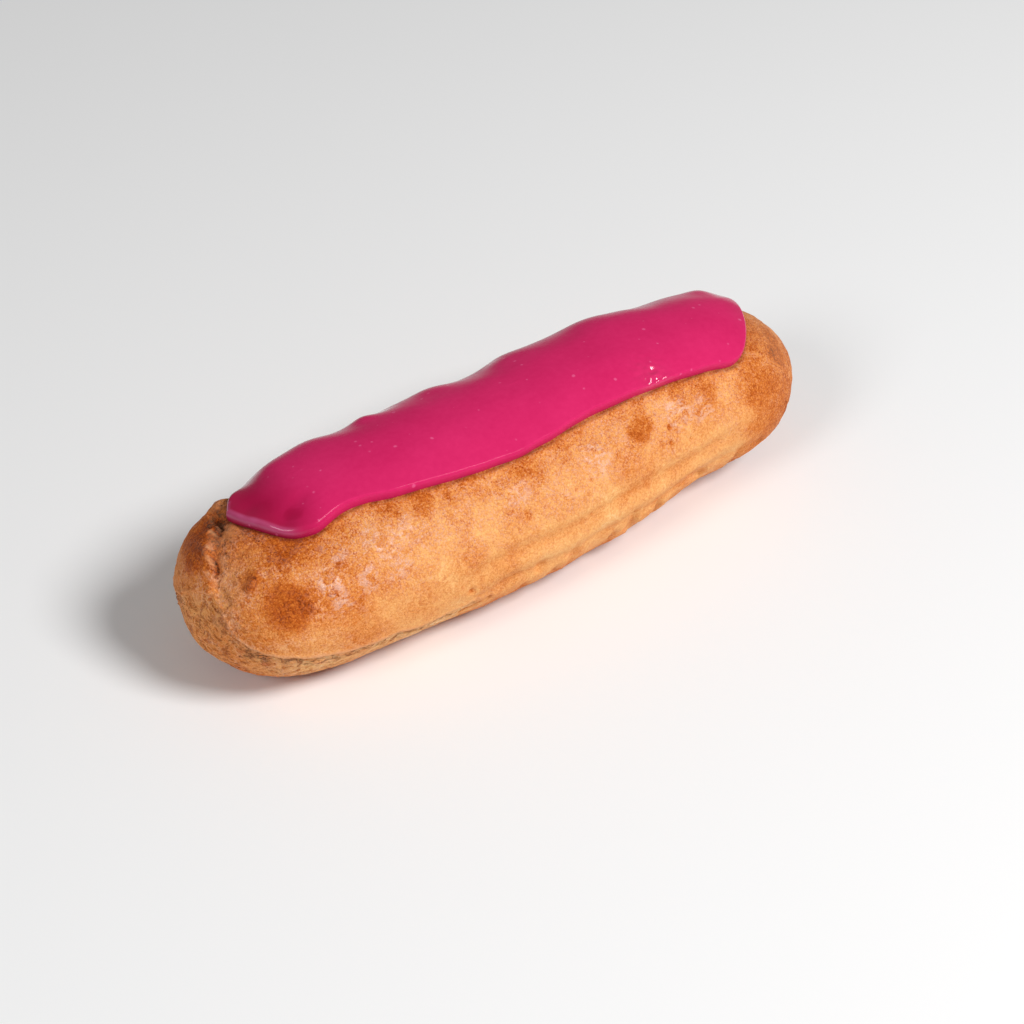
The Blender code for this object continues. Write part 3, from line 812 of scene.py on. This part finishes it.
class Tree:
    """Adds nodes to one node tree, and links them."""

    def __init__(self, tree):
        self.nodes, self.links = tree.nodes, tree.links

    def put(self, socket, value):
        """Links an output to a socket, or sets the socket to a plain value."""
        if isinstance(value, bpy.types.NodeSocket):
            self.links.new(value, socket)
        else:
            socket.default_value = value

    def node(self, kind, settings=(), **inputs):
        """A node of a kind, with its settings and its named inputs. Spaces in names are written _."""
        made = self.nodes.new("ShaderNode" + kind)
        for name, value in settings:
            setattr(made, name, value)
        for name, value in inputs.items():
            self.put(made.inputs[name.replace("_", " ")], value)
        return made

    def sum(self, operation, *values):
        """A Math node on numbers or outputs."""
        made = self.node("Math", [("operation", operation)])
        for socket, value in zip(made.inputs, values):
            self.put(socket, value)
        return made.outputs[0]

    def times(self, value, factor):
        """value * factor."""
        return self.sum("MULTIPLY", value, factor)

    def plus(self, base, value, factor):
        """base + value * factor."""
        return self.sum("MULTIPLY_ADD", value, factor, base)

    def centred(self, mask):
        """A mask from 0 to 1, moved to run from -0.5 to 0.5."""
        return self.sum("SUBTRACT", mask, 0.5)

    def fade(self, value, low, high):
        """0 where value is low, 1 where it's high, and smooth between."""
        settings = [("interpolation_type", "SMOOTHSTEP")]
        made = self.node("MapRange", settings, Value=value, From_Min=low, From_Max=high)
        return made.outputs["Result"]

    def noise(self, place, scale, detail=2.0, rough=0.5):
        """Soft noise from 0 to 1, with bumps about 1 / scale metres apart."""
        made = self.node("TexNoise", Vector=place, Scale=scale, Detail=detail, Roughness=rough)
        return made.outputs["Fac"]

    def shifted(self, place, by, amount):
        """A place shifted by a noise colour, which warps whatever is drawn there."""
        made = self.node("VectorMath", [("operation", "MULTIPLY_ADD")])
        self.put(made.inputs[0], by)
        self.put(made.inputs[1], (amount, amount, amount))
        self.put(made.inputs[2], place)
        return made.outputs[0]

    def mix(self, share, first, second):
        """Mixes two colours by a share."""
        made = self.node("Mix", [("data_type", "RGBA")], Factor=share)
        self.put(made.inputs[6], first)
        self.put(made.inputs[7], second)
        return made.outputs[2]

    def stored(self, name):
        """A number that was stored on the mesh."""
        return self.node("Attribute", [("attribute_name", name)]).outputs["Fac"]


def new_group(name, inputs, outputs):
    """A shader node group with (name, kind, default) inputs and (name, kind) outputs."""
    group = bpy.data.node_groups.new(name, "ShaderNodeTree")
    for label, kind, default in inputs:
        socket = group.interface.new_socket(label, in_out="INPUT", socket_type="NodeSocket" + kind)
        socket.default_value = default
    for label, kind in outputs:
        group.interface.new_socket(label, in_out="OUTPUT", socket_type="NodeSocket" + kind)
    return group, group.nodes.new("NodeGroupInput").outputs, group.nodes.new("NodeGroupOutput").inputs


def new_material(name):
    """A material, its tree and its Principled shader."""
    material = bpy.data.materials.new(name)
    material.use_nodes = True
    return material, Tree(material.node_tree), material.node_tree.nodes["Principled BSDF"]


print("golden crust as a linear colour:", [round(value, 3) for value in linear(236, 157, 88)])


# %% [markdown]
# ## Grain for both finishes
# Crust and icing both carry a grain far finer than their meshes: a pebbled one on the crust, and a
# whisper with a few trapped bubbles on the icing. One node group makes both kinds. It scatters
# cells of a given size, warps them so that they don't look like a honeycomb, and puts out how far
# each place is from its cell's middle, a random tone for each cell, soft noise, and a normal.

# %% Node group: fine grain
grain_group, given, result = new_group(
    "fine_grain",
    [("Cell Scale", "Float", 2600.0), ("Noise Scale", "Float", 2600.0), ("Cell Share", "Float", 0.5),
     ("Depth", "Float", 0.0001), ("Strength", "Float", 1.0)],
    [("Cell", "Float"), ("Tone", "Float"), ("Noise", "Float"), ("Normal", "Vector")],
)
tree = Tree(grain_group)
place = tree.node("TexCoord").outputs["Object"]
soft = tree.node("TexNoise", Vector=place, Scale=given["Noise Scale"], Detail=3.0, Roughness=0.62)
warped = tree.shifted(place, soft.outputs["Color"], 0.5 * MM)
cell = tree.node("TexVoronoi", Vector=warped, Scale=given["Cell Scale"])
tone = tree.node("SeparateColor", Color=cell.outputs["Color"]).outputs["Red"]
domes = tree.times(cell.outputs["Distance"], given["Cell Share"])
relief_height = tree.sum("SUBTRACT", soft.outputs["Fac"], domes)
bump = tree.node("Bump", Height=relief_height, Distance=given["Depth"], Strength=given["Strength"])
tree.put(result["Cell"], cell.outputs["Distance"])
tree.put(result["Tone"], tone)
tree.put(result["Noise"], soft.outputs["Fac"])
tree.put(result["Normal"], bump.outputs["Normal"])
print("group", grain_group.name, "has", len(grain_group.nodes), "nodes")

# %% [markdown]
# ## The crust's finish
# Baked choux runs from cream through gold to chestnut. One colour ramp holds that whole range, and
# the stored number for browning and painted shade picks the place on it. So patches, speckles,
# scorched edges and the shade painted into pits and cracks all come from the same ramp. Noise from
# the size of a pea down to that of a grain of salt shakes that number first. Pale veins and a finer
# web lighten it where the skin stretched, and painted shade darkens the gaps between the shreds where
# the dough tore. Over the ramp's colour come the pale dough with its painted highlights, painted
# glints of the key light on the raised grain, a painted sheen on the glazed places, and a narrow dark
# line along the icing's edge. The crust is matt, apart from the glazed places, where the egg wash
# left broken patches of a thin soft coat.

# %% Crust: how brown each place is, with its painted shade
BAKED = (
    (0.00, linear(255, 220, 172)), (0.22, linear(249, 188, 119)), (0.42, linear(236, 157, 88)),
    (0.60, linear(213, 117, 42)), (0.78, linear(178, 80, 16)), (0.92, linear(130, 54, 12)),
    (1.00, linear(74, 30, 10)),
)

crust_material, tree, shader = new_material("baked_choux")
place = tree.node("TexCoord").outputs["Object"]
grain = tree.node("Group", [("node_tree", grain_group)], Cell_Scale=3400.0, Noise_Scale=2900.0,
                  Cell_Share=0.45, Depth=0.2 * MM, Strength=0.95)

browned_and_shaded = tree.stored("browning_and_shade")
speckled_and_glinting = tree.stored("speckled_and_glinting")
crumbs = tree.noise(place, 330.0, 4.0, 0.6)
fine_speckle = tree.noise(place, 1100.0, 3.0, 0.7)
fine_amount = tree.plus(0.26, speckled_and_glinting, 0.44)
crumbs_amount = tree.plus(0.28, speckled_and_glinting, 0.14)
fine_speckle_amount = tree.plus(0.22, speckled_and_glinting, 0.20)
SPREADS = (
    (tree.noise(place, 95.0, 3.0), 0.30), (crumbs, crumbs_amount), (fine_speckle, fine_speckle_amount),
    (grain.outputs["Noise"], fine_amount), (grain.outputs["Tone"], 0.18), (grain.outputs["Cell"], 0.12),
)
for mask, amount in SPREADS:
    browned_and_shaded = tree.plus(browned_and_shaded, tree.centred(mask), amount)
print("browning is shaken by", len(SPREADS), "masks")

# %% Crust: veins, web, and painted shade in torn gaps
def network(where, scale, width):
    """Thin lines between warped cells: 1 on a line and 0 away from it."""
    made = tree.node("TexVoronoi", [("feature", "DISTANCE_TO_EDGE")], Vector=where, Scale=scale)
    return tree.sum("SUBTRACT", 1.0, tree.fade(made.outputs["Distance"], 0.0, width))


waves = tree.node("TexNoise", Vector=place, Scale=260.0)
warped = tree.shifted(place, waves.outputs["Color"], 4.0 * MM)
vein_places = tree.fade(tree.noise(place, 60.0), 0.45, 0.62)
veins = tree.times(network(warped, 170.0, 0.06), vein_places)
browned_and_shaded = tree.plus(browned_and_shaded, veins, -0.09)

ripples = tree.node("TexNoise", Vector=place, Scale=750.0, Detail=3.0)
tangled = tree.shifted(place, ripples.outputs["Color"], 2.8 * MM)
web = tree.times(network(tangled, 700.0, 0.24), tree.fade(crumbs, 0.38, 0.62))
web = tree.times(web, tree.stored("webbed"))
browned_and_shaded = tree.plus(browned_and_shaded, web, -0.13)

# Torn dough, and the foot's painted light from below.
torn_dough_and_foot_light = tree.stored("torn_dough_and_foot_light")
stretched = tree.node("VectorMath", [("operation", "MULTIPLY")])
tree.put(stretched.inputs[0], warped)
tree.put(stretched.inputs[1], (1.0, 1.0, 2.2))
shreds = tree.noise(stretched.outputs[0], 620.0, 4.0, 0.65)
gaps = tree.times(tree.fade(shreds, 0.50, 0.66), torn_dough_and_foot_light)
# Painted shade in the gaps between the shreds, which the bump also sinks.
browned_and_shaded = tree.plus(browned_and_shaded, gaps, 0.40)
print("veins, web and gaps added")

# %% Crust: baked colour, pale dough, and painted glints and sheen
PALE_DOUGH_AND_HIGHLIGHT, GLINT_AND_WEB_PALE, ICING_EDGE_DARK = linear(234, 168, 118), linear(246, 204, 184), linear(110, 36, 22)

ramp = tree.node("ValToRGB", Fac=browned_and_shaded)
while len(ramp.color_ramp.elements) < len(BAKED):
    ramp.color_ramp.elements.new(0.5)
for element, (position, colour) in zip(ramp.color_ramp.elements, BAKED):
    element.position = position
    element.color = colour
# Paler where dough tore open, plus painted highlights on the flap's edge and painted light on the foot.
pale_and_highlight_share = tree.plus(tree.stored("pale_and_highlit"), tree.centred(shreds), torn_dough_and_foot_light)
colour = tree.mix(pale_and_highlight_share, ramp.outputs["Color"], PALE_DOUGH_AND_HIGHLIGHT)

# Painted glints of the key light on the raised grain: most where the skin is speckled, least on the darkest
# brown.
painted_glints_and_web = tree.plus(0.07, tree.centred(grain.outputs["Noise"]), 2.5)
painted_glints_and_web = tree.plus(painted_glints_and_web, tree.centred(fine_speckle), 1.5)
painted_glints_and_web = tree.plus(painted_glints_and_web, tree.centred(crumbs), 0.4)
painted_glints_and_web = tree.times(painted_glints_and_web, tree.plus(0.15, speckled_and_glinting, 1.1))
painted_glints_and_web = tree.times(painted_glints_and_web, tree.sum("SUBTRACT", 1.0, tree.fade(browned_and_shaded, 0.50, 0.74)))
# A painted sheen of the key light on the glazed places, broken into streaks; the web adds pale lines of its
# own.
sheen_mask = tree.fade(tree.noise(stretched.outputs[0], 480.0, 4.0, 0.6), 0.44, 0.56)
sheen = tree.times(tree.stored("glazed_and_sheen"), sheen_mask)
painted_glints_and_web = tree.plus(painted_glints_and_web, sheen, 0.36)
painted_glints_and_web = tree.plus(painted_glints_and_web, web, 0.16)
colour = tree.mix(painted_glints_and_web, colour, GLINT_AND_WEB_PALE)
# Darker in a narrow line along the icing's edge.
icing_edge_share = tree.times(tree.stored("icing_edge_line"), 0.8)
tree.put(shader.inputs["Base Color"], tree.mix(icing_edge_share, colour, ICING_EDGE_DARK))
print("crust:", len(BAKED), "tones of browning")

# %% Crust: gloss and grain
rough = tree.plus(0.82, tree.noise(place, 240.0, 3.0), -0.35)
tree.put(shader.inputs["Roughness"], tree.plus(rough, sheen, -0.20))
tree.put(shader.inputs["Coat Weight"], tree.times(sheen, 0.45))
shader.inputs["Coat Roughness"].default_value = 0.33
torn_bump = tree.node("Bump", Height=tree.times(gaps, -1.0), Normal=grain.outputs["Normal"])
torn_bump.inputs["Distance"].default_value = 0.5 * MM
torn_bump.inputs["Strength"].default_value = 0.9
tree.put(shader.inputs["Normal"], torn_bump.outputs["Normal"])
shader.inputs["Specular IOR Level"].default_value = 0.22
shader.inputs["Specular Tint"].default_value = (1.0, 0.74, 0.52, 1.0)
bun_mesh.materials.append(crust_material)
print("crust finish has", len(crust_material.node_tree.nodes), "nodes")

# %% [markdown]
# ## The icing's finish
# Fondant is sugar ground so fine that its pink looks soft and even, with faint clouds, under a clear
# gloss. Over the blunt end it is painted darker as shade, with a few darker mottles, and a pale
# painted reflection lies along its lip.
# A few pale bubbles were trapped as it set: they are the cells of the same grain group, made large
# and far apart, of which only the middles show. The gloss is a satin base with a clear coat that is
# there only where the icing is wet, so that the back doesn't shine all over like glass.

# %% Icing: clouds, painted shade and reflection, and bubbles
PINK, LIGHT_PINK = linear(204, 32, 92), linear(220, 46, 107)
SHADE_AND_MOTTLE_PINK, LIP_REFLECTION_PINK, BUBBLE_PINK = linear(158, 14, 58), linear(214, 110, 160), linear(240, 120, 170)

icing_material, tree, shader = new_material("pink_fondant")
place = tree.node("TexCoord").outputs["Object"]
grain = tree.node("Group", [("node_tree", grain_group)], Cell_Scale=430.0, Noise_Scale=800.0,
                  Cell_Share=0.0, Depth=0.08 * MM, Strength=0.15)

clouds = tree.plus(tree.noise(place, 90.0, 3.0), grain.outputs["Noise"], 0.8)
clouds = tree.sum("SUBTRACT", clouds, 0.4)
pink = tree.mix(clouds, PINK, LIGHT_PINK)
# Painted shade over the blunt end, with its darker mottles.
pink = tree.mix(tree.times(tree.stored("shaded_and_mottled"), 0.85), pink, SHADE_AND_MOTTLE_PINK)
# The pale painted reflection along the lip.
pink = tree.mix(tree.stored("lip_reflection"), pink, LIP_REFLECTION_PINK)
bubble_size = tree.plus(-0.08, grain.outputs["Tone"], 0.30)
bubble = tree.fade(tree.sum("SUBTRACT", bubble_size, grain.outputs["Cell"]), 0.0, 0.11)
bubble_share = tree.times(bubble, 0.38)
tree.put(shader.inputs["Base Color"], tree.mix(bubble_share, pink, BUBBLE_PINK))
print("icing colour mixed with", len(tree.nodes), "nodes")

# %% Icing: gloss
shader.inputs["Roughness"].default_value = 0.22
shader.inputs["Specular IOR Level"].default_value = 0.06
shader.inputs["Specular Tint"].default_value = (1.0, 0.60, 0.78, 1.0)
tree.put(shader.inputs["Coat Weight"], tree.stored("wet"))
shader.inputs["Coat Roughness"].default_value = 0.13
tree.put(shader.inputs["Normal"], grain.outputs["Normal"])
icing_mesh.materials.append(icing_material)
print("icing finish has", len(icing_material.node_tree.nodes), "nodes")

# %% [markdown]
# ## Studio
# A white floor, an even and weak white surround, one soft key light from the front right and a
# weaker fill from the blunt end's side. Large soft lights keep the shadow gentle, and the white
# floor throws light back up on the flank and the foot.

# %% Floor and surround
FLOOR_SIZE, FLOOR_WHITE, SURROUND_STRENGTH = 4.0, 0.92, 0.16

bpy.ops.mesh.primitive_plane_add(size=FLOOR_SIZE, location=(0, 0, cad_bounds[0][2]))
floor = bpy.context.object
floor.name = "floor"
floor_material, tree, shader = new_material("pale_floor")
shader.inputs["Base Color"].default_value = (FLOOR_WHITE, FLOOR_WHITE, FLOOR_WHITE, 1.0)
shader.inputs["Roughness"].default_value = 0.9
floor.data.materials.append(floor_material)

world = bpy.data.worlds.new("surround")
bpy.context.scene.world = world
world.use_nodes = True
background = world.node_tree.nodes["Background"]
background.inputs["Color"].default_value = (1.0, 1.0, 1.0, 1.0)
background.inputs["Strength"].default_value = SURROUND_STRENGTH
print("floor and surround ready")

# %% Lights
LIT_POINT = 0.0, 0.0, 0.01


def aim(thing, target):
    """Turns a light or a camera so that it looks at a point."""
    direction = Vector(target) - thing.location
    thing.rotation_euler = direction.to_track_quat("-Z", "Y").to_euler()


def around(azimuth, elevation, distance):
    """A place seen from the object: azimuth 0 is in front (-Y) and 90 is at +X."""
    a, e = math.radians(azimuth), math.radians(elevation)
    return Vector((math.sin(a) * math.cos(e), -math.cos(a) * math.cos(e), math.sin(e))) * distance


def soft_light(name, azimuth, elevation, distance, size, power):
    """A round light of a size in metres and a power in watts, aimed at the object."""
    lamp = bpy.data.lights.new(name, "AREA")
    lamp.shape = "DISK"
    lamp.size = size
    lamp.energy = power
    holder = bpy.data.objects.new(name, lamp)
    holder.location = around(azimuth, elevation, distance)
    aim(holder, LIT_POINT)
    bpy.context.scene.collection.objects.link(holder)


soft_light("key", 27, 47, 1.0, 0.36, 8.5)
soft_light("fill", -76, 38, 1.2, 0.45, 3.8)
print("lights ready")

# %% [markdown]
# ## Camera
# The camera looks down from the bun's front left, from 38 degrees above the table, through a long
# lens, so that both ends keep their proportions. It aims a little below and to the right of the bun,
# which places the bun up and to the left of the middle of the view.

# %% Camera
CAMERA_AZIMUTH, CAMERA_ELEVATION, CAMERA_DISTANCE = -37.05, 38.0, 0.60
LENS, SENSOR = 109.5, 36.0
BUN_MIDDLE = Vector((0.0, 0.0, 0.018))
AIM_RIGHT, AIM_DOWN = 2.35 * MM, 9.0 * MM

lens = bpy.data.cameras.new("camera")
lens.lens = LENS
lens.sensor_width = SENSOR
camera = bpy.data.objects.new("camera", lens)
bpy.context.scene.collection.objects.link(camera)
bpy.context.scene.camera = camera
bun_centre = BUN_MIDDLE + Vector(CENTRE)
camera.location = bun_centre + around(CAMERA_AZIMUTH, CAMERA_ELEVATION, CAMERA_DISTANCE)
aim(camera, bun_centre)
bpy.context.view_layer.update()
to_right = camera.matrix_world.to_3x3() @ Vector((1, 0, 0))
to_top = camera.matrix_world.to_3x3() @ Vector((0, 1, 0))
aim(camera, bun_centre + to_right * AIM_RIGHT - to_top * AIM_DOWN)
bpy.context.scene.view_settings.view_transform = "Standard"
print("camera", [round(v, 4) for v in camera.location])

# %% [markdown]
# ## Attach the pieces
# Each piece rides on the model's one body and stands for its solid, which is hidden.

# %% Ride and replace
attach(bun_crust, "root")
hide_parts("choux_bun")
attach(fondant, "root")
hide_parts("icing")
